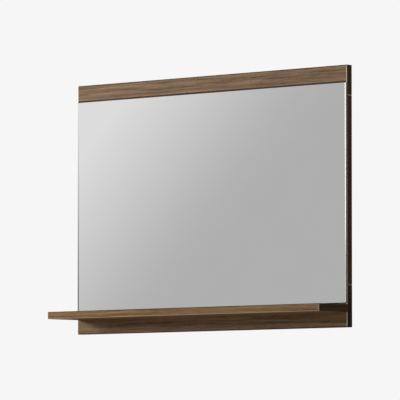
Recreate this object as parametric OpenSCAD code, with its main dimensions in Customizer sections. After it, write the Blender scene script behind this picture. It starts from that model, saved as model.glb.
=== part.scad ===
// Wall mirror on a dowelled frame of walnut-decor boards, with a shelf under the glass.
// X runs to the viewer's right, Y back to the wall and Z up. The origin is midway between
// the entry holes of the two corner keyhole plates, in the plane of the frame's back.

/* [Frame] */
// Overall width of the frame
width = 800; // [500:10:1200]
// Overall height of the frame
height = 550; // [400:10:900]
// Thickness of the frame's boards
board_t = 16; // [15:1:22]
// Height of the top rail, with its edge band
top_rail_h = 63; // [56:1:90]
// Height of the bottom rail, with its edge band
bottom_rail_h = 88; // [78:1:120]
// Width of a stile, with its edge band
stile_w = 60; // [50:1:90]

/* [Edge bands] */
// Thickness of the edge bands
band_t = 2; // [1:0.5:3]
// Radius of the eased arrises of the edge bands
arris_r = 1.5; // [0.5:0.1:2.5]
// Length left unbanded at each end of a stile, where the bare board shows
seam = 1.5; // [0.5:0.25:3]

/* [Mirror] */
// Thickness of the mirror glass
glass_t = 3; // [3:0.5:6]
// Width of the polished chamfers round the glass
glass_chamfer = 0.5; // [0.25:0.25:1.25]
// Distance from the frame's side to the side of the glass
glass_inset = 2.5; // [0.5:0.5:10]
// Height of top rail that shows above the glass
top_reveal = 37; // [25:1:44]
// Gap between the shelf's top and the glass
glass_gap = 3; // [2.5:0.5:8]
// Thickness of the foam tape that holds the glass
tape_t = 0.8; // [0.6:0.1:2]
// Width of the foam tape
tape_w = 15; // [9:1:18]
// Distance from a stile's end to the end of its tape
tape_gap = 8; // [2:1:40]

/* [Shelf] */
// Depth of the shelf in front of the frame, with its edge band
shelf_depth = 91; // [70:1:160]
// Length by which the shelf passes the frame at each side
shelf_overhang = 2; // [0:0.5:20]
// Thickness of the shelf board
shelf_t = 16; // [13:1:22]
// Height of the shelf's top above the frame's lower edge
shelf_top = 48; // [36:1:60]

/* [Dowels] */
// Diameter of the beech dowels
dowel_d = 8; // [6:1:10]
// Length of a corner dowel
dowel_len = 35; // [25:1:40]
// Distance between the two dowels of a corner
dowel_pitch = 32; // [20:1:36]
// Length of a shelf dowel
shelf_dowel_len = 30; // [25:1:40]
// Depth that a shelf dowel is set into the bottom rail
shelf_dowel_set = 10; // [8:1:12]
// Distance from an outer shelf screw to the dowel beside it
shelf_dowel_step = 32; // [20:1:60]
// Chamfer at each end of a dowel
dowel_chamfer = 1; // [0.5:0.25:2]

/* [Shelf screws] */
// Distance from the frame's side to an outer shelf screw
shelf_screw_inset = 70; // [50:5:120]
// Diameter of a shelf screw's shank
shelf_screw_d = 5; // [4:0.5:6]
// Diameter of a shelf screw's head
shelf_screw_head_d = 10; // [8:0.5:12]
// Length of a shelf screw
shelf_screw_len = 50; // [40:5:60]

/* [Keyhole plates] */
// Length of a plate's two legs, from its outer corner
plate_leg = 70; // [66:1:90]
// Width of plate that lies on each board
plate_lap = 20; // [16:1:26]
// Width of a leg at its cut-off end
plate_tip = 14; // [12:1:18]
// Radius of a plate's corners
plate_corner_r = 4; // [2:0.5:6]
// Thickness of a plate
plate_t = 2; // [1.75:0.25:2.25]
// Distance from the stile in to the middle of the keyhole
keyhole_in = 10; // [8:0.5:12]
// Distance from the top rail down to the centre of the keyhole's entry hole
keyhole_down = 17; // [15:0.5:20]
// Diameter of the entry hole, which the wall screw's head passes
entry_d = 10; // [8:0.5:11]
// Width of the slot, which the wall screw's shank fills
slot_w = 5.2; // [4.2:0.1:6]
// Distance that the frame drops on its wall screws, from the entry hole to the slot's end
slot_rise = 10; // [8:0.5:12]

/* [Plate screws] */
// Diameter of a plate screw's shank
plate_screw_d = 3.5; // [3:0.25:3.75]
// Diameter of a plate screw's head
plate_screw_head_d = 7; // [6:0.25:7]
// Length of a plate screw
plate_screw_len = 14; // [10:0.5:15]
// Distance from the frame's inner corner along a board to the nearer screw
plate_screw_near = 25; // [24:1:28]
// Distance between the two screws of a leg
plate_screw_pitch = 18; // [14:1:18]

/* [Wall bumpers] */
// Diameter of a wall bumper
bumper_d = 12; // [8:1:20]
// Thickness of a wall bumper, which is the frame's distance from the wall
bumper_t = 3; // [2.5:0.5:6]
// Distance from the frame's side and its top or bottom to a bumper's centre
bumper_inset = 28; // [15:1:35]

/* [Fits] */
// Radial clearance of a dowel or screw in its hole
hole_play = 0.1; // [0.05:0.05:0.3]
// Empty depth past the end of a dowel or screw
end_play = 1; // [0.5:0.25:2]

/* [Hidden] */
$fn = 64;

LEFT = -1;
RIGHT = 1;
walnut = "#6f5640";
walnut_band = "#5f4835";
beech = "#cda878";
zinc = "#b9bcbf";
mirror_silver = "#c9cdd0";
foam = "#e9e9e4";
clear_rubber = "#d5d8d6";

// The arris never takes the whole thickness of the band that it is cut in
arris = min(arris_r, 0.9 * band_t);

// Heights are measured up from the frame's lower edge, which lies at base_z
lower_joint = bottom_rail_h;
upper_joint = height - top_rail_h;
base_z = keyhole_down - upper_joint;
side_x = width / 2;
core_x = side_x - band_t;
inner_x = side_x - stile_w;
mid_y = -board_t / 2;
stile_mid_x = (core_x + inner_x) / 2;

shelf_back_y = -board_t;
shelf_front_y = shelf_back_y - shelf_depth;
shelf_core_y = shelf_front_y + band_t;
shelf_side_x = side_x + shelf_overhang;
shelf_core_x = shelf_side_x - band_t;
shelf_mid = shelf_top - shelf_t / 2;
outer_screw_x = side_x - shelf_screw_inset;
shelf_screw_xs = [-outer_screw_x, 0, outer_screw_x];
outer_dowel_x = outer_screw_x - shelf_dowel_step;
shelf_dowel_xs = [-outer_dowel_x, -outer_dowel_x / 2, outer_dowel_x / 2, outer_dowel_x];

glass_bottom = shelf_top + glass_gap;
glass_top = height - top_reveal;
glass_x = side_x - glass_inset;
glass_back_y = -board_t - tape_t;
top_tape_mid = (glass_top + upper_joint) / 2;
bottom_tape_mid = (glass_bottom + lower_joint) / 2;
side_tape_x = (glass_x + inner_x) / 2;

// Places of a plate's screws from the frame's inner corner, inwards and up
plate_screw_steps = [plate_screw_near, plate_screw_near + plate_screw_pitch];
plate_screw_places = [
    for (step = plate_screw_steps) [step, plate_lap / 2],
    for (step = plate_screw_steps) [-plate_lap / 2, -step]
];

// ---- Shapes that repeat ----

// Moves a piece from the heights that it is drawn at to its place on the wall
module hung() {
    translate([0, 0, base_z]) children();
}

module block(low, high) {
    translate(low) cube(high - low);
}

// Outline of a rectangle with its four corners rounded
module eased_rectangle(w, h, r) {
    square([w, h - 2 * r], center = true);
    square([w - 2 * r, h], center = true);
    for (side = [-1, 1], end = [-1, 1])
        translate([side * (w / 2 - r), end * (h / 2 - r)]) circle(r = r);
}

// Section of an edge band: glued edge at the bottom, both outer corners eased
module band_section(across) {
    intersection() {
        eased_rectangle(across, 2 * band_t, arris);
        translate([-across / 2, 0]) square([across, band_t]);
    }
}

// Edge band lying flat, its length along X and its shown face up
module band(length, across) {
    rotate([90, 0, 90]) linear_extrude(length, center = true) band_section(across);
}

// Edge band that turns a corner at both ends, so its ends are eased as well
module full_band(length, across) {
    intersection() {
        band(length, across);
        linear_extrude(band_t) eased_rectangle(length, across, arris);
        rotate([90, 0, 0]) linear_extrude(across, center = true) band_section(length);
    }
}

// Edge band on a side of the frame, from one height to another
module side_band(side, from, to) {
    translate([side * core_x, mid_y, (from + to) / 2])
        rotate([0, side * 90, 0]) band(to - from, board_t);
}

// Countersunk screw with its head in the XY plane, pointing down
module screw(shank_d, head_d, length) {
    head_h = (head_d - shank_d) / 2;
    translate([0, 0, -head_h]) cylinder(d1 = shank_d, d2 = head_d, h = head_h);
    translate([0, 0, -length]) cylinder(d = shank_d, h = length - head_h);
}

// The hole for that screw, with its countersink, its clearance and its mouth past the surface
module screw_hole(shank_d, head_d, length) {
    sink_d = head_d + 2 * hole_play;
    sink_h = (head_d - shank_d) / 2;
    translate([0, 0, -sink_h])
        cylinder(d1 = shank_d + 2 * hole_play, d2 = sink_d, h = sink_h);
    cylinder(d = sink_d, h = end_play);
    translate([0, 0, -length - end_play])
        cylinder(d = shank_d + 2 * hole_play, h = length + end_play);
}

// Dowel along Z, centred, with chamfered ends
module dowel(length) {
    cylinder(d = dowel_d, h = length - 2 * dowel_chamfer, center = true);
    for (end = [0, 1]) mirror([0, 0, end])
        translate([0, 0, length / 2 - dowel_chamfer])
            cylinder(d1 = dowel_d, d2 = dowel_d - 2 * dowel_chamfer, h = dowel_chamfer);
}

module dowel_hole(length) {
    cylinder(d = dowel_d + 2 * hole_play, h = length + 2 * end_play, center = true);
}

// ---- Places that two or more pieces share ----

// Turns a piece drawn along Z, head up, so that it points from the wall into the frame
module from_back() {
    rotate([-90, 0, 0]) children();
}

module at_corner_dowels(side, joint) {
    for (step = [-1, 1])
        translate([side * stile_mid_x + step * dowel_pitch / 2, mid_y, joint]) children();
}

module at_shelf_dowels() {
    for (x = shelf_dowel_xs)
        translate([x, shelf_back_y + shelf_dowel_set - shelf_dowel_len / 2, shelf_mid])
            from_back() children();
}

module at_shelf_screws() {
    for (x = shelf_screw_xs) translate([x, 0, shelf_mid]) from_back() children();
}

// The frame's upper inner corner, with X from the stile in to the opening
module at_inner_corner(side) {
    translate([side * inner_x, 0, upper_joint])
        mirror([side > 0 ? 1 : 0, 0, 0]) children();
}

module at_plate_screws(side) {
    at_inner_corner(side) for (place = plate_screw_places)
        translate([place.x, plate_t, place.y]) from_back() children();
}

module at_bumper(side, h) {
    translate([side * (side_x - bumper_inset), 0, h]) from_back() children();
}

// ---- Frame boards ----

module plate_screw_holes(side) {
    at_plate_screws(side) screw_hole(plate_screw_d, plate_screw_head_d, plate_screw_len);
}

module top_rail() {
    color(walnut) hung() difference() {
        block([-core_x, -board_t, upper_joint], [core_x, 0, height - band_t]);
        for (side = [LEFT, RIGHT]) {
            at_corner_dowels(side, upper_joint) dowel_hole(dowel_len);
            plate_screw_holes(side);
        }
    }
}

module bottom_rail() {
    color(walnut) hung() difference() {
        block([-core_x, -board_t, band_t], [core_x, 0, lower_joint]);
        for (side = [LEFT, RIGHT]) at_corner_dowels(side, lower_joint) dowel_hole(dowel_len);
        at_shelf_dowels() dowel_hole(shelf_dowel_len);
        at_shelf_screws() screw_hole(shelf_screw_d, shelf_screw_head_d, shelf_screw_len);
    }
}

module stile(side) {
    color(walnut) hung() difference() {
        block(
            [side < 0 ? -core_x : inner_x, -board_t, lower_joint],
            [side < 0 ? -inner_x : core_x, 0, upper_joint]
        );
        for (joint = [lower_joint, upper_joint])
            at_corner_dowels(side, joint) dowel_hole(dowel_len);
        plate_screw_holes(side);
    }
}

module left_stile() { stile(LEFT); }

module right_stile() { stile(RIGHT); }

// ---- Edge bands of the frame ----

module top_rail_top_band() {
    color(walnut_band) hung()
        translate([0, mid_y, height - band_t]) full_band(width, board_t);
}

module top_rail_left_band() {
    color(walnut_band) hung() side_band(LEFT, upper_joint, height - band_t);
}

module top_rail_right_band() {
    color(walnut_band) hung() side_band(RIGHT, upper_joint, height - band_t);
}

module bottom_rail_bottom_band() {
    color(walnut_band) hung()
        translate([0, mid_y, band_t]) mirror([0, 0, 1]) full_band(width, board_t);
}

module bottom_rail_left_band() {
    color(walnut_band) hung() side_band(LEFT, band_t, lower_joint);
}

module bottom_rail_right_band() {
    color(walnut_band) hung() side_band(RIGHT, band_t, lower_joint);
}

module left_stile_band() {
    color(walnut_band) hung() side_band(LEFT, lower_joint + seam, upper_joint - seam);
}

module right_stile_band() {
    color(walnut_band) hung() side_band(RIGHT, lower_joint + seam, upper_joint - seam);
}

// ---- Dowels of the frame's corners ----

module corner_dowels(side, joint) {
    color(beech) hung() at_corner_dowels(side, joint) dowel(dowel_len);
}

module top_left_dowels() { corner_dowels(LEFT, upper_joint); }

module top_right_dowels() { corner_dowels(RIGHT, upper_joint); }

module bottom_left_dowels() { corner_dowels(LEFT, lower_joint); }

module bottom_right_dowels() { corner_dowels(RIGHT, lower_joint); }

// ---- Shelf ----

module shelf_board() {
    color(walnut) hung() difference() {
        block(
            [-shelf_core_x, shelf_core_y, shelf_top - shelf_t],
            [shelf_core_x, shelf_back_y, shelf_top]
        );
        at_shelf_dowels() dowel_hole(shelf_dowel_len);
        at_shelf_screws() screw_hole(shelf_screw_d, shelf_screw_head_d, shelf_screw_len);
    }
}

module shelf_front_band() {
    color(walnut_band) hung()
        translate([0, shelf_core_y, shelf_mid])
            rotate([90, 0, 0]) full_band(2 * shelf_side_x, shelf_t);
}

module shelf_end_band(side) {
    color(walnut_band) hung()
        translate([side * shelf_core_x, (shelf_core_y + shelf_back_y) / 2, shelf_mid])
            rotate([90, 0, side * 90]) band(shelf_back_y - shelf_core_y, shelf_t);
}

module shelf_left_band() { shelf_end_band(LEFT); }

module shelf_right_band() { shelf_end_band(RIGHT); }

module shelf_dowels() {
    color(beech) hung() at_shelf_dowels() dowel(shelf_dowel_len);
}

module shelf_screws() {
    color(zinc) hung()
        at_shelf_screws() screw(shelf_screw_d, shelf_screw_head_d, shelf_screw_len);
}

// ---- Mirror ----

// Section through the glass, back face down, with all four edges chamfered
module glass_section(span) {
    edge = span / 2;
    shoulder = edge - glass_chamfer;
    polygon([
        [-shoulder, 0], [shoulder, 0], [edge, glass_chamfer], [edge, glass_t - glass_chamfer],
        [shoulder, glass_t], [-shoulder, glass_t],
        [-edge, glass_t - glass_chamfer], [-edge, glass_chamfer]
    ]);
}

module mirror_glass() {
    glass_h = glass_top - glass_bottom;
    color(mirror_silver) hung()
        translate([0, glass_back_y, (glass_top + glass_bottom) / 2])
            rotate([90, 0, 0]) intersection() {
                rotate([90, 0, 0]) linear_extrude(glass_h, center = true)
                    glass_section(2 * glass_x);
                rotate([90, 0, 90]) linear_extrude(2 * glass_x, center = true)
                    glass_section(glass_h);
            }
}

// Tape across the frame, on a rail
module rail_tape(mid) {
    reach = side_tape_x + tape_w / 2;
    color(foam) hung()
        block([-reach, glass_back_y, mid - tape_w / 2], [reach, -board_t, mid + tape_w / 2]);
}

// Tape up the frame, on a stile
module stile_tape(side) {
    mid_x = side * side_tape_x;
    color(foam) hung()
        block(
            [mid_x - tape_w / 2, glass_back_y, lower_joint + tape_gap],
            [mid_x + tape_w / 2, -board_t, upper_joint - tape_gap]
        );
}

module top_tape() { rail_tape(top_tape_mid); }

module bottom_tape() { rail_tape(bottom_tape_mid); }

module left_tape() { stile_tape(LEFT); }

module right_tape() { stile_tape(RIGHT); }

// ---- Wall fixings ----

// Outline of a corner plate: a square with rounded corners, cut off from leg to leg
module plate_outline() {
    reach = plate_leg - plate_lap;
    tip = plate_tip - plate_lap;
    intersection() {
        translate([reach - plate_leg / 2, plate_leg / 2 - reach])
            eased_rectangle(plate_leg, plate_leg, plate_corner_r);
        polygon([
            [-plate_lap, plate_lap], [reach, plate_lap], [reach, -tip], [tip, -reach],
            [-plate_lap, -reach]
        ]);
    }
}

// Round hole for the wall screw's head, with a slot above it for the shank
module keyhole() {
    translate([keyhole_in, -keyhole_down]) {
        circle(d = entry_d);
        translate([-slot_w / 2, 0]) square([slot_w, slot_rise]);
        translate([0, slot_rise]) circle(d = slot_w);
    }
}

// Steel plate across the frame's inner corner, screwed to the rail and the stile. The wall
// screw's head goes through the entry hole into the hollow behind the glass, and the frame
// then drops until the shank is at the top of the slot.
module keyhole_plate(side) {
    color(zinc) hung() difference() {
        at_inner_corner(side) translate([0, plate_t, 0]) rotate([90, 0, 0])
            linear_extrude(plate_t) difference() {
                plate_outline();
                keyhole();
            }
        plate_screw_holes(side);
    }
}

module left_keyhole_plate() { keyhole_plate(LEFT); }

module right_keyhole_plate() { keyhole_plate(RIGHT); }

module plate_screws() {
    color(zinc) hung() for (side = [LEFT, RIGHT])
        at_plate_screws(side) screw(plate_screw_d, plate_screw_head_d, plate_screw_len);
}

// Self-adhesive bumper with a flat face for the wall and a bevelled rim
module bumper(side, h) {
    rim = bumper_t / 2;
    color(clear_rubber) hung() at_bumper(side, h) {
        cylinder(d = bumper_d, h = bumper_t - rim);
        translate([0, 0, bumper_t - rim]) cylinder(d1 = bumper_d, d2 = bumper_d - 2 * rim, h = rim);
    }
}

module top_left_bumper() { bumper(LEFT, height - bumper_inset); }

module top_right_bumper() { bumper(RIGHT, height - bumper_inset); }

module bottom_left_bumper() { bumper(LEFT, bumper_inset); }

module bottom_right_bumper() { bumper(RIGHT, bumper_inset); }

top_rail();
bottom_rail();
left_stile();
right_stile();
top_rail_top_band();
top_rail_left_band();
top_rail_right_band();
bottom_rail_bottom_band();
bottom_rail_left_band();
bottom_rail_right_band();
left_stile_band();
right_stile_band();
top_left_dowels();
top_right_dowels();
bottom_left_dowels();
bottom_right_dowels();
shelf_board();
shelf_front_band();
shelf_left_band();
shelf_right_band();
shelf_dowels();
shelf_screws();
mirror_glass();
top_tape();
bottom_tape();
left_tape();
right_tape();
left_keyhole_plate();
right_keyhole_plate();
plate_screws();
top_left_bumper();
top_right_bumper();
bottom_left_bumper();
bottom_right_bumper();
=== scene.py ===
"""A wall mirror on a walnut-decor board frame with a shelf below the glass, put together piece by piece."""

import math

import bmesh
import bpy
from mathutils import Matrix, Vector


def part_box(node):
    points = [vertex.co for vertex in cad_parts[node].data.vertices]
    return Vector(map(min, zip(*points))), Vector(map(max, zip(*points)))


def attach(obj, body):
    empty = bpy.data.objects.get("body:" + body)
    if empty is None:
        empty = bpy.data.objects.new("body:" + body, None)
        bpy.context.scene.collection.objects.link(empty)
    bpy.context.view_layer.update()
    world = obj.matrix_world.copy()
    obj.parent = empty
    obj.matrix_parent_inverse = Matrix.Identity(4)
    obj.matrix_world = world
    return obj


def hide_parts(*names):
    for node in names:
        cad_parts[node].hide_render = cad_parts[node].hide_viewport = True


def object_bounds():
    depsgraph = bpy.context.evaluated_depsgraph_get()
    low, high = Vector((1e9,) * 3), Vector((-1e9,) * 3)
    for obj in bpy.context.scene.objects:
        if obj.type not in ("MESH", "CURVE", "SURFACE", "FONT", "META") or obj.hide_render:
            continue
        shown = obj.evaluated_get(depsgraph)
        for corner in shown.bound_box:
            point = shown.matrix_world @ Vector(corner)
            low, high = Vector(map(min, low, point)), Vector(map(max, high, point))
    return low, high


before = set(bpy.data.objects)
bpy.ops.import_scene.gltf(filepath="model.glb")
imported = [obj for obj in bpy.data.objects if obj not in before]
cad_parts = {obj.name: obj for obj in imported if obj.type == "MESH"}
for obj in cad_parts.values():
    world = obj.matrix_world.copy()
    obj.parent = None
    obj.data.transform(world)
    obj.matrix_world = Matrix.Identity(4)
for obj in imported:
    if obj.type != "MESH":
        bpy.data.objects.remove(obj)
cad_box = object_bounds()
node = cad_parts


# ---------------------------------------------------------------- rails and stiles
# Four lengths of 16 mm melamine-faced chipboard, dowelled at the corners. The faces carry
# a printed walnut paper under clear melamine, with the grain along each board. The sawn
# edges and the bored holes show the chipboard itself.


def srgb(code):
    """An sRGB hex colour as the linear colour that a shader takes."""
    parts = [int(code[i : i + 2], 16) / 255 for i in (0, 2, 4)]
    return (*[c / 12.92 if c <= 0.04045 else ((c + 0.055) / 1.055) ** 2.4 for c in parts], 1.0)


def put(tree, kind, links=None, **settings):
    """Adds one node to a tree, with its settings, its values and its links.

    A link or value goes to a socket by name or number. A Mix has its factor at 0 and its
    two colours at 6 and 7, or its two numbers at 2 and 3. A Map Range has the range that it
    reads at 1 and 2 and the one that it gives at 3 and 4, from 0 to 1 if they are left out.
    """
    made = tree.nodes.new("ShaderNode" + kind)
    for name, value in settings.items():
        setattr(made, name, value)
    for socket, value in (links or {}).items():
        if isinstance(value, bpy.types.NodeSocket):
            tree.links.new(value, made.inputs[socket])
        else:
            made.inputs[socket].default_value = value
    return made


def bare_material(name):
    """A material with an empty node tree."""
    made = bpy.data.materials.new(name)
    made.use_nodes = True
    made.node_tree.nodes.clear()
    return made, made.node_tree


def spaced(tree, *size):
    """The place on the piece, counted in steps of one size in mm, or of one size each for X, Y and Z."""
    place = put(tree, "TexCoord").outputs["Object"]
    steps_per_m = [1000 / mm for mm in (size if len(size) == 3 else size * 3)]
    return put(tree, "VectorMath", {0: place, 1: steps_per_m}, operation="MULTIPLY").outputs[0]


def walnut_figure(tree, along, out, soft=0.16, start=0):
    """The printed walnut, with its grain along one axis on faces that look along another.

    Soft is how gently the growth lines turn from dark to light, and start is where on the
    roll of paper the piece was cut, in mm. Returns the colour, the fine streaks from 0 to 1
    and the height of the pore relief.
    """
    axis = put(tree, "SeparateXYZ", {0: spaced(tree, 1)}).outputs
    across = [a for a in "XYZ" if a not in (along, out)][0]
    sheet = put(tree, "CombineXYZ", {0: axis[along], 1: axis[across], 2: axis[out]}).outputs[0]

    # The growth lines sway over a length of 260 mm, within 6 mm and mostly within 3 mm.
    reach = 6
    long_way = put(tree, "VectorMath", {0: sheet, 1: (260, 48, 400)}, operation="DIVIDE")
    sway = put(tree, "TexNoise", {"Vector": long_way.outputs[0], "Scale": 1, "Detail": 2})
    shift = put(tree, "Math", {0: sway.outputs[0], 1: 2 * reach, 2: -reach}, operation="MULTIPLY_ADD")
    shifted = put(tree, "CombineXYZ", {0: start, 1: shift.outputs[0]})
    figure = put(tree, "VectorMath", {0: sheet, 1: shifted.outputs[0]}).outputs[0]

    # Growth bands 5 mm wide, blotches of 150 by 14 mm, short mottles of 28 by 5 mm and
    # streaks 120 mm long. The real streaks and pores are 0.2 mm wide, which no picture of
    # the whole mirror shows, so they are drawn 2.4 and 1.6 mm wide. Each goes from none to
    # full between a low and a high level of its noise.
    layer = {}
    for what, size, detail, low, high in (
        ("growth", (260, 5, 90), 4, 0.5 - soft, 0.5 + soft),
        ("blotch", (150, 14, 90), 2, 0.36, 0.64),
        ("mottle", (28, 5, 28), 2, 0.36, 0.66),
        ("streak", (120, 2.4, 60), 2, 0.36, 0.68),
        ("pore", (16, 1.6, 20), 0, 0.58, 0.8),
    ):
        scaled = put(tree, "VectorMath", {0: figure, 1: size}, operation="DIVIDE")
        noise = put(tree, "TexNoise", {"Vector": scaled.outputs[0], "Scale": 1, "Detail": detail})
        layer[what] = put(tree, "MapRange", {0: noise.outputs[0], 1: low, 2: high}).outputs[0]

    # Olive and red-brown ground, with the other layers printed over it in their inks.
    olive = put(tree, "Mix", {0: layer["growth"], 6: srgb("584427"), 7: srgb("846B48")}, data_type="RGBA")
    red = put(tree, "Mix", {0: layer["growth"], 6: srgb("583C2A"), 7: srgb("87664A")}, data_type="RGBA")
    ground = put(tree, "Mix", {0: layer["blotch"], 6: olive.outputs[2], 7: red.outputs[2]}, data_type="RGBA")
    printed = ground.outputs[2]
    for what, share, ink in (
        ("mottle", 0.35, "90714F"),
        ("streak", 0.3, "483120"),
        ("pore", 0.35, "3A2618"),
    ):
        weight = put(tree, "Math", {0: layer[what], 1: share}, operation="MULTIPLY").outputs[0]
        printed = put(tree, "Mix", {0: weight, 6: printed, 7: srgb(ink)}, data_type="RGBA").outputs[2]
    relief = put(tree, "Math", {0: layer["pore"], 1: -1.0, 2: 1.0}, operation="MULTIPLY_ADD")
    return printed, layer["streak"], relief.outputs[0]


def facing(tree, out, low, high):
    """How squarely a surface faces along an axis: 0 below the low cosine and 1 above the high one."""
    normal = put(tree, "NewGeometry").outputs["True Normal"]
    part = put(tree, "SeparateXYZ", {0: normal}).outputs[out]
    size = put(tree, "Math", {0: part}, operation="ABSOLUTE")
    return put(tree, "MapRange", {0: size.outputs[0], 1: low, 2: high}).outputs[0]


def melamine_board(name, along, out, shade_line=None, gloss=0.06, soft=0.16, start=0):
    """Walnut-decor melamine-faced chipboard: a satin printed face, and pale pressed chips where it is cut.

    The shade line is the lowest and highest Z of a line of painted shade along the front
    face. The gloss is the specular level, kept low so that the white studio doesn't veil the
    walnut. Soft and start are the figure's.
    """
    material, tree = bare_material(name)
    walnut, streak, relief = walnut_figure(tree, along, out, soft, start)
    # The print lies on what looks along the out axis. The cut edges and the holes are bare.
    face = facing(tree, out, 0.6, 0.8)
    if shade_line:
        # The painted shade nearly hides the print, and wholly on its dark streaks.
        lowest, highest = shade_line
        middle, half = (lowest + highest) / 2, (highest - lowest) / 2
        height = put(tree, "SeparateXYZ", {0: put(tree, "TexCoord").outputs["Object"]}).outputs["Z"]
        line = put(tree, "Math", {0: height, 1: middle, 2: half}, operation="COMPARE")
        weight = put(tree, "MapRange", {0: streak, 3: 0.9, 4: 1.0})
        normal = put(tree, "SeparateXYZ", {0: put(tree, "NewGeometry").outputs["True Normal"]}).outputs
        front = put(tree, "Math", {0: normal["Y"], 1: -0.5}, operation="LESS_THAN")
        shaded = put(tree, "Math", {0: line.outputs[0], 1: weight.outputs[0]}, operation="MULTIPLY")
        shaded = put(tree, "Math", {0: shaded.outputs[0], 1: front.outputs[0]}, operation="MULTIPLY").outputs[0]
        walnut = put(tree, "Mix", {0: shaded, 6: walnut, 7: srgb("340D03")}, data_type="RGBA").outputs[2]

    # Pale chips about 3 mm across, with a few dark bark specks.
    chips = put(tree, "TexVoronoi", {"Vector": spaced(tree, 3.2), "Scale": 1})
    shade = put(tree, "SeparateColor", {0: chips.outputs["Color"]})
    wood = put(tree, "Mix", {0: shade.outputs[0], 6: srgb("9C7A50"), 7: srgb("CDB184")}, data_type="RGBA")
    bark = put(tree, "Math", {0: shade.outputs[1], 1: 0.9}, operation="GREATER_THAN")
    core = put(tree, "Mix", {0: bark.outputs[0], 6: wood.outputs[2], 7: srgb("5B4028")}, data_type="RGBA")

    colour = put(tree, "Mix", {0: face, 6: core.outputs[2], 7: walnut}, data_type="RGBA")
    satin = put(tree, "MapRange", {0: streak, 3: 0.46, 4: 0.56})
    rough = put(tree, "Mix", {0: face, 2: 0.85, 3: satin.outputs[0]})
    height = put(tree, "Mix", {0: face, 2: chips.outputs["Distance"], 3: relief})
    bump = put(tree, "Bump", {"Strength": 0.12, "Distance": 0.0003, "Height": height.outputs[0]})
    shader = put(
        tree,
        "BsdfPrincipled",
        {
            "Base Color": colour.outputs[2],
            "Roughness": rough.outputs[0],
            "IOR": 1.5,
            "Specular IOR Level": gloss,
            "Normal": bump.outputs[0],
        },
    )
    put(tree, "OutputMaterial", {0: shader.outputs[0]})
    return material


# A line of painted shade on the top rail where the glass meets it: 3.5 mm high above the
# glass, and going on for 1 mm behind its edge.
glass_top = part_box("mirror_glass")[1].z
painted_shade_line = (glass_top - 0.001, glass_top + 0.0035)
# The top rail's growth lines are sharper than the others', and it comes from 12.7 m further
# along the roll.
top_rail_board = melamine_board("walnut_melamine_top_rail", "X", "Y", painted_shade_line, soft=0.1, start=12700)
rail_board = melamine_board("walnut_melamine_rail", "X", "Y")
stile_board = melamine_board("walnut_melamine_stile", "Z", "Y")
for name, material in (
    ("top_rail", top_rail_board),
    ("bottom_rail", rail_board),
    ("left_stile", stile_board),
    ("right_stile", stile_board),
):
    node[name].material_slots[0].material = material


# ---------------------------------------------------------------- edge bands
# 2 mm ABS bands, printed with the same walnut and glued round the boards. Their arrises are
# milled through the print to the plain ABS: dark where polished, pale where left rough under
# the shelf's front, and pale as a painted highlight down the right-hand side's front and at
# the shelf's right-hand corner.


def abs_band(name, along, out, pale_arrises=(), tone=1.0):
    """Printed ABS edging: walnut on the flat, dark plain ABS on the milled arrises and the cut ends.

    Each pale arris is an axis, the way along it that the arris looks, the least cosine that
    still belongs to it, and its two paler colours, which are rough milled ABS under the
    shelf's front and a painted highlight elsewhere. The tone is how light the print is beside
    the boards': painted light on the upright bands, painted shade on the foot and end bands.
    """
    material, tree = bare_material(name)
    walnut, streak, relief = walnut_figure(tree, along, out)
    walnut = put(tree, "HueSaturation", {"Color": walnut, "Value": tone}).outputs[0]
    flat = facing(tree, out, 0.9, 0.99)

    # Milling marks about 1.5 mm apart along the arris.
    marks = put(tree, "TexNoise", {"Vector": spaced(tree, 1.5), "Scale": 1, "Detail": 1})
    cut = put(tree, "Mix", {0: marks.outputs[0], 6: srgb("36261B"), 7: srgb("443124")}, data_type="RGBA")
    normal = put(tree, "SeparateXYZ", {0: put(tree, "NewGeometry").outputs["True Normal"]}).outputs
    for axis, way, least, (low, high) in pale_arrises:
        pale = put(tree, "Mix", {0: marks.outputs[0], 6: srgb(low), 7: srgb(high)}, data_type="RGBA")
        towards = put(tree, "Math", {0: normal[axis], 1: way}, operation="MULTIPLY")
        looks = put(tree, "Math", {0: towards.outputs[0], 1: least}, operation="GREATER_THAN")
        cut = put(tree, "Mix", {0: looks.outputs[0], 6: cut.outputs[2], 7: pale.outputs[2]}, data_type="RGBA")

    # The specular level is low for the boards' reason, and lower still.
    colour = put(tree, "Mix", {0: flat, 6: cut.outputs[2], 7: walnut}, data_type="RGBA")
    satin = put(tree, "MapRange", {0: streak, 3: 0.46, 4: 0.56})
    rough = put(tree, "Mix", {0: flat, 2: 0.3, 3: satin.outputs[0]})
    height = put(tree, "Mix", {0: flat, 2: marks.outputs[0], 3: relief})
    bump = put(tree, "Bump", {"Strength": 0.12, "Distance": 0.0003, "Height": height.outputs[0]})
    shader = put(
        tree,
        "BsdfPrincipled",
        {
            "Base Color": colour.outputs[2],
            "Roughness": rough.outputs[0],
            "IOR": 1.52,
            "Specular IOR Level": 0.02,
            "Normal": bump.outputs[0],
        },
    )
    put(tree, "OutputMaterial", {0: shader.outputs[0]})
    return material


soft_cut = ("A3866A", "B49476")
# Pale arris colours that are a painted highlight.
painted_highlight_cut = ("DEC6B0", "F0DCC8")
level_band = abs_band("walnut_abs_band_level", "X", "Z")
for name in ("top_rail_top_band", "bottom_rail_bottom_band"):
    node[name].material_slots[0].material = level_band
for side, cuts in (("left", ()), ("right", (("Y", -1, 0.5, painted_highlight_cut),))):
    # The upright bands are a little lighter, as painted light.
    upright_band = abs_band(f"walnut_abs_band_{side}_side", "Z", "X", cuts, tone=1.05)
    for name in (f"top_rail_{side}_band", f"{side}_stile_band"):
        node[name].material_slots[0].material = upright_band
    # The piece beside the bottom rail is much darker, as painted shade.
    foot_band = abs_band(f"walnut_abs_band_{side}_foot", "Z", "X", cuts, tone=0.6)
    node[f"bottom_rail_{side}_band"].material_slots[0].material = foot_band


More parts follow.
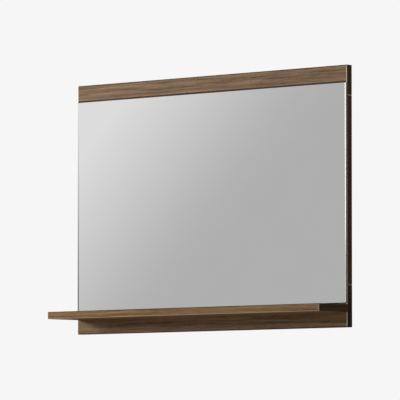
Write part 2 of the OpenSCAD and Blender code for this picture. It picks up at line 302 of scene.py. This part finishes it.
# ---------------------------------------------------------------- joint filler
# Cream filler wiped into the 1.5 mm gaps between the rails' and the stiles' edge bands, at
# the four joints of the frame's sides. It dries a little hollow, with a shiny skin.


def new_piece(name, mesh):
    """Makes an object of a finished mesh, which rides on the frame. The caller gives it its finish."""
    bmesh.ops.recalc_face_normals(mesh, faces=mesh.faces)
    data = bpy.data.meshes.new(name)
    mesh.to_mesh(data)
    mesh.free()
    piece = bpy.data.objects.new(name, data)
    bpy.context.scene.collection.objects.link(piece)
    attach(piece, "root")
    return piece


def joint_filler():
    """One object of the four fillers, each a strip with a hollow face."""
    # The filler fills the bands' flat between their rounded arrises. Its edges lie 0.05 mm
    # below the bands' faces, its middle 0.4 mm deeper, and its back 0.1 mm off the board.
    arris_r, edge_deep, hollow, back_deep = 0.0015, 0.00005, 0.0004, 0.0019
    # At each side it keeps clear of the band by 2% of the gap.
    play, steps = 0.02, 6
    mesh = bmesh.new()
    for side, out in (("left", -1), ("right", 1)):
        stile_low, stile_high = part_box(f"{side}_stile_band")
        face_x = (stile_high if out > 0 else stile_low).x
        back_x = face_x - out * back_deep
        near_y, far_y = stile_low.y + arris_r, stile_high.y - arris_r
        for low, high in (
            (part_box(f"bottom_rail_{side}_band")[1].z, stile_low.z),
            (stile_high.z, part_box(f"top_rail_{side}_band")[0].z),
        ):
            rows = []
            for step in range(steps + 1):
                part = step / steps
                z = low + (high - low) * (play + (1 - 2 * play) * part)
                x = face_x - out * (edge_deep + hollow * math.sin(math.pi * part))
                rows.append([mesh.verts.new((x, y, z)) for y in (near_y, far_y)])
            backs = [[mesh.verts.new((back_x, v.co.y, v.co.z)) for v in row] for row in (rows[0], rows[-1])]
            for one, two in zip(rows, rows[1:]):
                mesh.faces.new((one[0], one[1], two[1], two[0]))
            for front, back in ((rows[0], backs[0]), (rows[-1], backs[1])):
                mesh.faces.new((front[0], front[1], back[1], back[0]))
            mesh.faces.new((backs[0][0], backs[0][1], backs[1][1], backs[1][0]))
            for end in (0, 1):
                mesh.faces.new([row[end] for row in rows] + [backs[1][end], backs[0][end]])
    return new_piece("joint_filler", mesh)


# Cream in the upper joints and brown in the lower ones, the brown being painted shade, with
# grains 0.7 mm across under the shiny skin.
material, tree = bare_material("cream_joint_filler")
grains = put(tree, "TexNoise", {"Vector": spaced(tree, 0.7), "Scale": 1, "Detail": 2})
height = put(tree, "SeparateXYZ", {0: put(tree, "TexCoord").outputs["Object"]}).outputs["Z"]
mid_height = (cad_box[0].z + cad_box[1].z) / 2
upper = put(tree, "Math", {0: height, 1: mid_height}, operation="GREATER_THAN")
filler_and_shade = put(tree, "Mix", {0: upper.outputs[0], 6: srgb("5C4B39"), 7: srgb("F0E2C8")}, data_type="RGBA")
speck = put(tree, "MapRange", {0: grains.outputs[0], 1: 0.5, 2: 0.7})
colour = put(tree, "Mix", {0: speck.outputs[0], 6: filler_and_shade.outputs[2], 7: srgb("D9C4A2")}, data_type="RGBA")
bump = put(tree, "Bump", {"Strength": 0.2, "Distance": 0.0001, "Height": grains.outputs[0]})
shader = put(
    tree,
    "BsdfPrincipled",
    {
        "Base Color": colour.outputs[2],
        "Roughness": 0.4,
        "IOR": 1.5,
        "Coat Weight": 1.0,
        "Coat Roughness": 0.12,
        "Normal": bump.outputs[0],
    },
)
put(tree, "OutputMaterial", {0: shader.outputs[0]})
joint_filler().data.materials.append(material)


# ---------------------------------------------------------------- corner and shelf dowels
# Turned beech pins, two glued into each corner of the frame and four between the bottom
# rail and the shelf. The wood is pale pink-brown with short dark flecks along its length.


def turned_beech(name, along):
    """Unfinished beech: pale and matt, with its flecks and growth lines along the pin."""
    material, tree = bare_material(name)
    axis = put(tree, "SeparateXYZ", {0: spaced(tree, 1)}).outputs
    across = [a for a in "XYZ" if a != along]
    pin = put(tree, "CombineXYZ", {0: axis[along], 1: axis[across[0]], 2: axis[across[1]]}).outputs[0]

    # Flecks 3 mm long and 0.4 mm wide, growth lines 1.5 mm apart.
    short = put(tree, "VectorMath", {0: pin, 1: (3, 0.4, 0.4)}, operation="DIVIDE")
    flecks = put(tree, "TexNoise", {"Vector": short.outputs[0], "Scale": 1, "Detail": 1})
    fleck = put(tree, "MapRange", {0: flecks.outputs[0], 1: 0.58, 2: 0.68, 4: 0.6})
    long_way = put(tree, "VectorMath", {0: pin, 1: (40, 1.5, 1.5)}, operation="DIVIDE")
    growth = put(tree, "TexNoise", {"Vector": long_way.outputs[0], "Scale": 1, "Detail": 2})
    wood = put(tree, "Mix", {0: growth.outputs[0], 6: srgb("C9A878"), 7: srgb("E6CDA4")}, data_type="RGBA")
    colour = put(tree, "Mix", {0: fleck.outputs[0], 6: wood.outputs[2], 7: srgb("9A7348")}, data_type="RGBA")
    bump = put(tree, "Bump", {"Strength": 0.2, "Distance": 0.0002, "Height": growth.outputs[0]})
    shader = put(
        tree,
        "BsdfPrincipled",
        {"Base Color": colour.outputs[2], "Roughness": 0.7, "IOR": 1.5, "Normal": bump.outputs[0]},
    )
    put(tree, "OutputMaterial", {0: shader.outputs[0]})
    return material


corner_pins = turned_beech("turned_beech_corner", "Z")
for place in ("top_left", "top_right", "bottom_left", "bottom_right"):
    node[f"{place}_dowels"].material_slots[0].material = corner_pins
node["shelf_dowels"].material_slots[0].material = turned_beech("turned_beech_shelf", "Y")


# ---------------------------------------------------------------- shelf
# One board of the same walnut-decor chipboard, 804 mm long with its bands, dowelled and
# screwed to the bottom rail from behind. The grain runs along the shelf, on its faces and
# on the band at its front. Its faces are worn matt by what has stood on them.

shelf_board = melamine_board("walnut_melamine_shelf", "X", "Z", gloss=0.0)
node["shelf_board"].material_slots[0].material = shelf_board
# The shelf's right-hand corner gets the painted highlight, and its lower arris rough milled ABS.
front_cuts = (("Z", -1, 0.15, soft_cut), ("X", 1, 0.15, painted_highlight_cut))
front_band = abs_band("walnut_abs_band_front", "X", "Y", front_cuts, tone=1.08)
node["shelf_front_band"].material_slots[0].material = front_band
# The end bands are a little darker, as painted shade.
end_band = abs_band("walnut_abs_band_end", "Y", "X", tone=0.9)
for side in ("left", "right"):
    node[f"shelf_{side}_band"].material_slots[0].material = end_band


# ---------------------------------------------------------------- screws
# Countersunk steel screws, pressed and rolled from wire and zinc plated: three 50 mm ones
# through the bottom rail into the shelf, and eight 14 mm ones in the corner plates. Each
# head is flush and has a cross recess.


def zinc_plate(name, roughness):
    """Bright zinc plate: a cool grey metal with soft cloudy patches left by the bath."""
    material, tree = bare_material(name)
    # Patches about 7 mm across, and fine drawing marks 0.5 mm apart along X.
    cloud = put(tree, "TexNoise", {"Vector": spaced(tree, 7), "Scale": 1, "Detail": 3})
    marks = put(tree, "TexNoise", {"Vector": spaced(tree, 12.5, 0.5, 0.5), "Scale": 1, "Detail": 1})
    colour = put(tree, "Mix", {0: cloud.outputs[0], 6: srgb("B4B7BC"), 7: srgb("DDDEDC")}, data_type="RGBA")
    rough = put(tree, "MapRange", {0: cloud.outputs[0], 3: roughness - 0.08, 4: roughness + 0.1})
    bump = put(tree, "Bump", {"Strength": 0.1, "Distance": 0.0001, "Height": marks.outputs[0]})
    shader = put(
        tree,
        "BsdfPrincipled",
        {
            "Base Color": colour.outputs[2],
            "Metallic": 1.0,
            "Roughness": rough.outputs[0],
            "Normal": bump.outputs[0],
        },
    )
    put(tree, "OutputMaterial", {0: shader.outputs[0]})
    return material


def screw_profile(head_r, shank_r, length):
    """Radius and depth of each ring of a screw, from its head's face to its point."""
    rim_r, rim_deep = head_r * 0.985, 0.00015
    cone_deep, plain_neck = head_r - shank_r, 0.0008
    pitch, root_r, crest_r = shank_r * 0.8, shank_r * 0.74, shank_r * 0.98
    thread_end = length - shank_r * 2.2
    tip_deep, tip_r, point_r = length - shank_r * 2.1, shank_r * 0.72, shank_r * 0.08

    profile = [(head_r, 0), (rim_r, rim_deep), (shank_r, cone_deep)]
    run = cone_deep + plain_neck
    while run < thread_end:
        profile += [(root_r, run), (crest_r, run + pitch / 2)]
        run += pitch
    return profile + [(tip_r, tip_deep), (point_r, length)]


def countersunk_screw(mesh, x, z, face_y, head_r, shank_r, length):
    """Adds one screw that points along -Y: head with its cross recess, cone, thread and tip."""
    sides = 32
    rings = []
    for radius, deep in screw_profile(head_r, shank_r, length):
        ring = []
        for i in range(sides):
            angle = 2 * math.pi * i / sides
            place = (x + radius * math.cos(angle), face_y - deep, z + radius * math.sin(angle))
            ring.append(mesh.verts.new(place))
        rings.append(ring)
    for near, far in zip(rings, rings[1:]):
        for i in range(sides):
            j = (i + 1) % sides
            mesh.faces.new((near[i], near[j], far[j], far[i]))
    mesh.faces.new(list(reversed(rings[-1])))

    # The cross recess goes half the head's radius deep and tapers to its foot.
    arm, half = head_r * 0.56, head_r * 0.11
    floor_y = face_y - head_r * 0.5
    foot_x, foot_z = 0.45, 0.8
    quarter, cross = [(arm, half), (half, half), (half, arm)], []
    for _ in range(4):
        cross += quarter
        quarter = [(-b, a) for a, b in quarter]
    mouth = [mesh.verts.new((x + a, face_y, z + b)) for a, b in cross]
    foot = [mesh.verts.new((x + a * foot_x, floor_y, z + b * foot_z)) for a, b in cross]
    corners = len(cross)
    for i in range(corners):
        j = (i + 1) % corners
        mesh.faces.new((mouth[i], mouth[j], foot[j], foot[i]))
    mesh.faces.new(foot)
    rims = [mesh.edges.get((rings[0][i], rings[0][(i + 1) % sides])) for i in range(sides)]
    rims += [mesh.edges.get((mouth[i], mouth[(i + 1) % corners])) for i in range(corners)]
    bmesh.ops.triangle_fill(mesh, use_beauty=True, edges=rims)


def screw_set(name, places, head_r, shank_r, stands_for):
    """Makes one object of the screws at these places, as long as the CAD node that it stands for."""
    low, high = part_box(stands_for)
    mesh = bmesh.new()
    for x, z in places:
        countersunk_screw(mesh, x, z, high.y, head_r, shank_r, high.y - low.y)
    piece = new_piece(name, mesh)
    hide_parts(stands_for)
    return piece


# The shelf's screws are in one row, the outer two at the ends of their node.
shelf_head_r, shelf_shank_r = 0.005, 0.0025
row_low, row_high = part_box("shelf_screws")
outer_x, row_z = row_high.x - shelf_head_r, (row_low.z + row_high.z) / 2
shelf_screws = screw_set(
    "shelf_cross_screws",
    [(x, row_z) for x in (-outer_x, 0, outer_x)],
    shelf_head_r,
    shelf_shank_r,
    stands_for="shelf_screws",
)

# Each plate has two screws in the rail and two in the stile, 10 mm from their inner edges. The
# nearer is 25 mm from the frame's inner corner and the other 18 mm on.
corner_x, corner_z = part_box("right_stile")[0].x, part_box("top_rail")[0].z
into_board, steps = 0.010, (0.025, 0.025 + 0.018)
corner_places = [(corner_x - step, corner_z + into_board) for step in steps]
corner_places += [(corner_x + into_board, corner_z - step) for step in steps]
plate_head_r, plate_shank_r = 0.0035, 0.00175
plate_screws = screw_set(
    "plate_cross_screws",
    [(side * x, z) for side in (-1, 1) for x, z in corner_places],
    plate_head_r,
    plate_shank_r,
    stands_for="plate_screws",
)
screw_zinc = zinc_plate("zinc_plated_wire", 0.28)
for piece in (shelf_screws, plate_screws):
    piece.data.materials.append(screw_zinc)


# ---------------------------------------------------------------- foam tapes
# Four strips of white closed-cell foam tape, 0.8 mm thick, sticky on both faces. They hold
# the mirror on the rails and the stiles.

# White and matt, with fine cells. They are 0.2 mm across, too fine to show, and drawn 1 mm
# across.
material, tree = bare_material("closed_cell_foam")
cells = put(tree, "TexVoronoi", {"Vector": spaced(tree, 1), "Scale": 1}).outputs["Distance"]
colour = put(tree, "Mix", {0: cells, 6: srgb("F0EFEA"), 7: srgb("DAD9D2")}, data_type="RGBA")
bump = put(tree, "Bump", {"Strength": 0.3, "Distance": 0.0002, "Height": cells})
shader = put(
    tree,
    "BsdfPrincipled",
    {"Base Color": colour.outputs[2], "Roughness": 0.9, "IOR": 1.45, "Normal": bump.outputs[0]},
)
put(tree, "OutputMaterial", {0: shader.outputs[0]})
for side in ("top", "bottom", "left", "right"):
    node[f"{side}_tape"].material_slots[0].material = material


# ---------------------------------------------------------------- mirror
# A 3 mm float-glass mirror, silvered and painted grey on the back. Its edge is ground and
# polished, with narrow ground arrises and dubbed corners. It stands proud of the rails on
# its tape.

mirror_low, mirror_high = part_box("mirror_glass")
mid_x, mid_z = (mirror_low.x + mirror_high.x) / 2, (mirror_low.z + mirror_high.z) / 2
half_x, half_z = (mirror_high.x - mirror_low.x) / 2, (mirror_high.z - mirror_low.z) / 2
arris, dub_r, corner_steps = 0.0005, 0.0015, 5
silver_face, arris_face, edge_face, paint_face = range(4)


def mirror_outline(mesh, y, inset):
    """One loop round the glass at a depth, set in from its edge, with its dubbed corners."""
    loop = []
    for turn, (sx, sz) in enumerate(((1, 1), (-1, 1), (-1, -1), (1, -1))):
        for step in range(corner_steps + 1):
            angle = math.pi / 2 * (turn + step / corner_steps)
            x = mid_x + sx * (half_x - dub_r) + (dub_r - inset) * math.cos(angle)
            z = mid_z + sz * (half_z - dub_r) + (dub_r - inset) * math.sin(angle)
            loop.append(mesh.verts.new((x, y, z)))
    return loop


mesh = bmesh.new()
loops = [
    mirror_outline(mesh, mirror_low.y, arris),
    mirror_outline(mesh, mirror_low.y + arris, 0),
    mirror_outline(mesh, mirror_high.y - arris, 0),
    mirror_outline(mesh, mirror_high.y, arris),
]
for finish, (near, far) in zip((arris_face, edge_face, arris_face), zip(loops, loops[1:])):
    for i in range(len(near)):
        j = (i + 1) % len(near)
        mesh.faces.new((near[i], near[j], far[j], far[i])).material_index = finish
mesh.faces.new(loops[0]).material_index = silver_face
mesh.faces.new(loops[-1]).material_index = paint_face
mirror = new_piece("float_mirror", mesh)
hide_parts("mirror_glass")

# Silver seen through clear float glass: a neutral mirror. Near the left edge, a painted
# reflection of the polished edge is a line 3.3 mm wide, 3 mm in, and darker towards the
# bottom.
material, tree = bare_material("silvered_float_glass")
axis = put(tree, "SeparateXYZ", {0: put(tree, "TexCoord").outputs["Object"]}).outputs
line_mid, line_half = mirror_low.x + 0.003, 0.0033 / 2
line_foot, line_top = mirror_low.z + 0.04, mirror_high.z - 0.012
in_painted_reflection = put(tree, "Math", {0: axis["X"], 1: line_mid, 2: line_half}, operation="COMPARE")
down = put(tree, "MapRange", {0: axis["Z"], 1: line_foot, 2: line_top})
line = put(tree, "Mix", {0: down.outputs[0], 6: srgb("868A88"), 7: srgb("F4F7F5")}, data_type="RGBA")
edged = put(tree, "Mix", {0: in_painted_reflection.outputs[0], 6: srgb("F4F4F4"), 7: line.outputs[2]}, data_type="RGBA")
# Along the top, a painted reflection of the arris is a brown line 0.4 mm high.
painted_image_foot = mirror_high.z - arris - 0.0004
top = put(tree, "Math", {0: axis["Z"], 1: painted_image_foot}, operation="GREATER_THAN")
silver = put(tree, "Mix", {0: top.outputs[0], 6: edged.outputs[2], 7: srgb("5A2E18")}, data_type="RGBA")
# A film of dust covers up to 4% of it, in patches of about 60 mm.
dust = put(tree, "TexNoise", {"Vector": spaced(tree, 60), "Scale": 1, "Detail": 3})
film = put(tree, "MapRange", {0: dust.outputs[0], 1: 0.35, 2: 0.7, 3: 0.0, 4: 0.04})
dusty = put(tree, "Mix", {0: film.outputs[0], 6: silver.outputs[2], 7: srgb("D8D4CC")}, data_type="RGBA")
shader = put(
    tree,
    "BsdfPrincipled",
    {"Base Color": dusty.outputs[2], "Metallic": 1.0, "Roughness": 0.0},
)
put(tree, "OutputMaterial", {0: shader.outputs[0]})
mirror.data.materials.append(material)

# The arris is ground, with grit marks 0.8 mm apart. Under the rail it is a dull brown line,
# which is a painted reflection of the rail, and down the sides it is fine enough to shine.
material, tree = bare_material("ground_glass_arris")
grit = put(tree, "TexNoise", {"Vector": spaced(tree, 0.8), "Scale": 1, "Detail": 2})
brown = put(tree, "Mix", {0: grit.outputs[0], 6: srgb("42200F"), 7: srgb("5E3622")}, data_type="RGBA")
shine = put(tree, "Mix", {0: grit.outputs[0], 6: srgb("E2E8E4"), 7: srgb("F8FBF9")}, data_type="RGBA")
sideways = facing(tree, "X", 0.3, 0.5)
colour = put(tree, "Mix", {0: sideways, 6: brown.outputs[2], 7: shine.outputs[2]}, data_type="RGBA")
rough = put(tree, "Mix", {0: sideways, 2: 0.55, 3: 0.15})
shader = put(
    tree,
    "BsdfPrincipled",
    {
        "Base Color": colour.outputs[2],
        "Metallic": sideways,
        "Roughness": rough.outputs[0],
        "IOR": 1.52,
        "Specular IOR Level": 0.3,
    },
)
put(tree, "OutputMaterial", {0: shader.outputs[0]})
mirror.data.materials.append(material)

# The polished edge is bright and neutral, and its colour greys towards the bottom as painted
# shade. Polishing waves 40 mm long and 1.25 mm apart run along it.
material, tree = bare_material("polished_glass_edge")
height = put(tree, "SeparateXYZ", {0: put(tree, "TexCoord").outputs["Object"]}).outputs["Z"]
down = put(tree, "MapRange", {0: height, 1: mirror_low.z, 2: mirror_high.z})
waves = put(tree, "TexNoise", {"Vector": spaced(tree, 40, 1.25, 40), "Scale": 1, "Detail": 2})
light = put(tree, "Mix", {0: down.outputs[0], 6: srgb("C2C2C0"), 7: srgb("FAF9F7")}, data_type="RGBA")
colour = put(tree, "Mix", {0: waves.outputs[0], 6: light.outputs[2], 7: srgb("DFE0DD")}, data_type="RGBA")
shader = put(
    tree,
    "BsdfPrincipled",
    {"Base Color": colour.outputs[2], "Metallic": 1.0, "Roughness": 0.12},
)
put(tree, "OutputMaterial", {0: shader.outputs[0]})
mirror.data.materials.append(material)

# The back is covered with a curtain-coated grey paint, semi-matt, with a ripple 4 mm apart
# and cloudy over 90 mm.
material, tree = bare_material("mirror_backing_paint")
ripple = put(tree, "TexNoise", {"Vector": spaced(tree, 4), "Scale": 1, "Detail": 2})
cloud = put(tree, "TexNoise", {"Vector": spaced(tree, 90), "Scale": 1, "Detail": 2})
colour = put(tree, "Mix", {0: cloud.outputs[0], 6: srgb("7E8386"), 7: srgb("979B9C")}, data_type="RGBA")
bump = put(tree, "Bump", {"Strength": 0.15, "Distance": 0.0003, "Height": ripple.outputs[0]})
shader = put(
    tree,
    "BsdfPrincipled",
    {"Base Color": colour.outputs[2], "Roughness": 0.5, "IOR": 1.5, "Normal": bump.outputs[0]},
)
put(tree, "OutputMaterial", {0: shader.outputs[0]})
mirror.data.materials.append(material)


# ---------------------------------------------------------------- corner plates
# Two flat steel plates, punched with a keyhole each and zinc plated, screwed over the upper
# inner corners of the frame.

plate_zinc = zinc_plate("zinc_plated_sheet", 0.34)
for side in ("left", "right"):
    node[f"{side}_keyhole_plate"].material_slots[0].material = plate_zinc


# ---------------------------------------------------------------- wall bumpers
# Four clear polyurethane domes, cast and self-adhesive, that keep the frame 3 mm off the
# wall.

# Smooth, clear and faintly clouded, in patches of 3 mm.
material, tree = bare_material("clear_polyurethane")
cloud = put(tree, "TexNoise", {"Vector": spaced(tree, 3), "Scale": 1, "Detail": 2})
colour = put(tree, "Mix", {0: cloud.outputs[0], 6: srgb("D6DDDA"), 7: srgb("F0F3F1")}, data_type="RGBA")
shader = put(
    tree,
    "BsdfPrincipled",
    {"Base Color": colour.outputs[2], "Roughness": 0.16, "IOR": 1.49, "Transmission Weight": 0.55},
)
put(tree, "OutputMaterial", {0: shader.outputs[0]})
for place in ("top_left", "top_right", "bottom_left", "bottom_right"):
    node[f"{place}_bumper"].material_slots[0].material = material


# ---------------------------------------------------------------- studio
# The mirror hangs in a plain white studio, seen from the right and a little below with a
# long lens. A round soft lamp on the left casts the shelf's shadow, and the rest of the
# light is the studio's own, weakest on the right.

scene = bpy.context.scene
scene.view_settings.view_transform = "Standard"

# The camera is 9.8 m off, 43.8 degrees round to the right, and looks up by 3.3 degrees.
camera = bpy.data.objects.new("camera", bpy.data.cameras.new("camera"))
camera_up, camera_round = 3.3019, 43.8057
camera.data.lens = 410.03
camera.location = (6.7574, -7.0883, -0.7526)
camera.rotation_euler = (math.radians(90 + camera_up), 0, math.radians(camera_round))
scene.collection.objects.link(camera)
scene.camera = camera

# The round lamp is 0.92 m across and a little above the mirror. A square one, 2 m across,
# lights the back, and gloss doesn't see it. Both point at the frame's origin.
for name, shape, size, power, in_gloss, place in (
    ("key_softbox", "DISK", 0.92, 168, True, Vector((-3.37, -2.80, 0.48))),
    ("back_softbox", "SQUARE", 2.0, 110, False, Vector((-2.0, 3.0, 2.0))),
):
    lamp = bpy.data.lights.new(name, "AREA")
    lamp.shape = shape
    lamp.size = size
    lamp.energy = power
    light = bpy.data.objects.new(name, lamp)
    light.location = place
    light.rotation_euler = (-place).to_track_quat("-Z", "Y").to_euler()
    light.visible_glossy = in_gloss
    light.visible_transmission = False
    scene.collection.objects.link(light)

# Lit objects get the graded studio light, strongest from the left, the front and below. The
# camera, gloss and glass see the pale background, which is 246 of 255.
studio_lean, studio_level = (-0.34, -0.20, -0.25), 0.32
backdrop_colour = srgb("F6F6F6")
world = bpy.data.worlds.new("studio")
world.use_nodes = True
scene.world = world
tree = world.node_tree
tree.nodes.clear()
direction = put(tree, "TexCoord").outputs["Generated"]
lean = put(tree, "VectorMath", {0: direction, 1: studio_lean}, operation="DOT_PRODUCT")
level = put(tree, "Math", {0: lean.outputs["Value"], 1: studio_level}, operation="ADD")
level = put(tree, "Math", {0: level.outputs[0], 1: 0.0}, operation="MAXIMUM")
studio_light = put(tree, "Background", {0: (1, 1, 1, 1), 1: level.outputs[0]})
backdrop = put(tree, "Background", {0: backdrop_colour, 1: 1.0})
rays = put(tree, "LightPath").outputs
seen = put(tree, "Math", {0: rays["Is Camera Ray"], 1: rays["Is Glossy Ray"]}, operation="MAXIMUM")
seen = put(tree, "Math", {0: seen.outputs[0], 1: rays["Is Transmission Ray"]}, operation="MAXIMUM")
both = put(tree, "MixShader", {0: seen.outputs[0], 1: studio_light.outputs[0], 2: backdrop.outputs[0]})
put(tree, "OutputWorld", {0: both.outputs[0]})

# In linear light, the mirror is to show 0.716 at its upper left, which is 220 of 255, and
# 0.429 towards its lower right, which is 175. The silver gives back 0.905 of what it sees.
silver_share = 0.905
light_grey, even_grey = 0.716 / silver_share, 0.429 / silver_share


def stage_sheet(name, corners, material):
    """A flat stage piece with these four corners."""
    data = bpy.data.meshes.new(name)
    data.from_pydata(corners, [], [(0, 1, 2, 3)])
    data.materials.append(material)
    piece = bpy.data.objects.new(name, data)
    scene.collection.objects.link(piece)
    return piece


# The floor is pale paper, 1.18 m below the mirror. It gives off 60% of the background's
# colour, so that it is pale from every side, and all of it far off, where it fades into the
# background. It isn't seen from below, and reflections show it in the grey of the card.
floor_z, floor_half = -1.65, 12
fade_near, fade_far, least_haze = 3.0, 9.0, 0.6
material, tree = bare_material("pale_paper_floor")
point = put(tree, "NewGeometry").outputs
flat = put(tree, "VectorMath", {0: point["Position"], 1: (1, 1, 0)}, operation="MULTIPLY")
away = put(tree, "VectorMath", {0: flat.outputs[0]}, operation="LENGTH").outputs["Value"]
fade = put(
    tree,
    "MapRange",
    {0: away, 1: fade_near, 2: fade_far, 3: least_haze},
    interpolation_type="SMOOTHSTEP",
)
paper = put(tree, "BsdfDiffuse", {0: srgb("FAFAF9")})
haze = put(tree, "Emission", {0: backdrop_colour, 1: 1.0})
faded = put(tree, "MixShader", {0: fade.outputs[0], 1: paper.outputs[0], 2: haze.outputs[0]})
dim = put(tree, "Emission", {0: (1, 1, 1, 1), 1: even_grey})
rays = put(tree, "LightPath").outputs
mirrored = put(tree, "MixShader", {0: rays["Is Glossy Ray"], 1: faded.outputs[0], 2: dim.outputs[0]})
clear = put(tree, "BsdfTransparent")
sided = put(tree, "MixShader", {0: point["Backfacing"], 1: mirrored.outputs[0], 2: clear.outputs[0]})
put(tree, "OutputMaterial", {0: sided.outputs[0]})
floor_corners = [(x * floor_half, y * floor_half, floor_z) for x, y in ((-1, -1), (1, -1), (1, 1), (-1, 1))]
floor = stage_sheet("floor", floor_corners, material)
floor.visible_diffuse = False

# A grey card in front of the mirror, which only reflections see. Down to the right, half a
# step of light grey falls within one step to the even grey. A step is 0.48 m, and after 3.2
# steps the greys come back in turn.
steps_per_m, steps_at_origin = (1.415, 0, -1.544), 3.893
light_steps, turn_steps, bend = 0.5, 3.2, 0.12
material, tree = bare_material("graded_grey_card")
spot = put(tree, "NewGeometry").outputs["Position"]
slope = put(tree, "VectorMath", {0: spot, 1: steps_per_m}, operation="DOT_PRODUCT").outputs["Value"]
along = put(tree, "Math", {0: slope, 1: steps_at_origin + light_steps}, operation="ADD")
turn = put(tree, "Math", {0: along.outputs[0], 1: turn_steps}, operation="PINGPONG")
# The fall would go on at its rate for a second step, but the even grey takes over in a bend.
second_grey = 2 * even_grey - light_grey
fall = {1: light_steps, 2: light_steps + 2, 3: light_grey, 4: second_grey}
falling = put(tree, "MapRange", {0: turn.outputs[0], **fall})
grey = put(tree, "Math", {0: falling.outputs[0], 1: even_grey, 2: bend}, operation="SMOOTH_MAX")
glow = put(tree, "Emission", {0: (1, 1, 1, 1), 1: grey.outputs[0]})
put(tree, "OutputMaterial", {0: glow.outputs[0]})
card_y, card_half, card_foot, card_top = -2.22, 9, -1.6, 6
card = stage_sheet(
    "grey_card",
    [
        (-card_half, card_y, card_foot),
        (card_half, card_y, card_foot),
        (card_half, card_y, card_top),
        (-card_half, card_y, card_top),
    ],
    material,
)

# A strip light 1.2 m wide behind the mirror, on its right, which only reflections see. Its
# image runs down the polished right-hand edge and ends above the edge's foot.
strip_mid, strip_way, strip_half = Vector((2.47, 2.14)), Vector((0.72, -0.69)), 0.6
strip_foot, strip_top, strip_strength = -0.15, 1.5, 2.4
material, tree = bare_material("strip_light")
hot = put(tree, "Emission", {0: (1, 1, 1, 1), 1: strip_strength})
put(tree, "OutputMaterial", {0: hot.outputs[0]})
near, far = strip_mid - strip_way * strip_half, strip_mid + strip_way * strip_half
strip = stage_sheet(
    "strip_light",
    [(*near, strip_foot), (*far, strip_foot), (*far, strip_top), (*near, strip_top)],
    material,
)
for sheet in (card, strip):
    for ray in ("camera", "diffuse", "shadow", "transmission", "volume_scatter"):
        setattr(sheet, f"visible_{ray}", False)
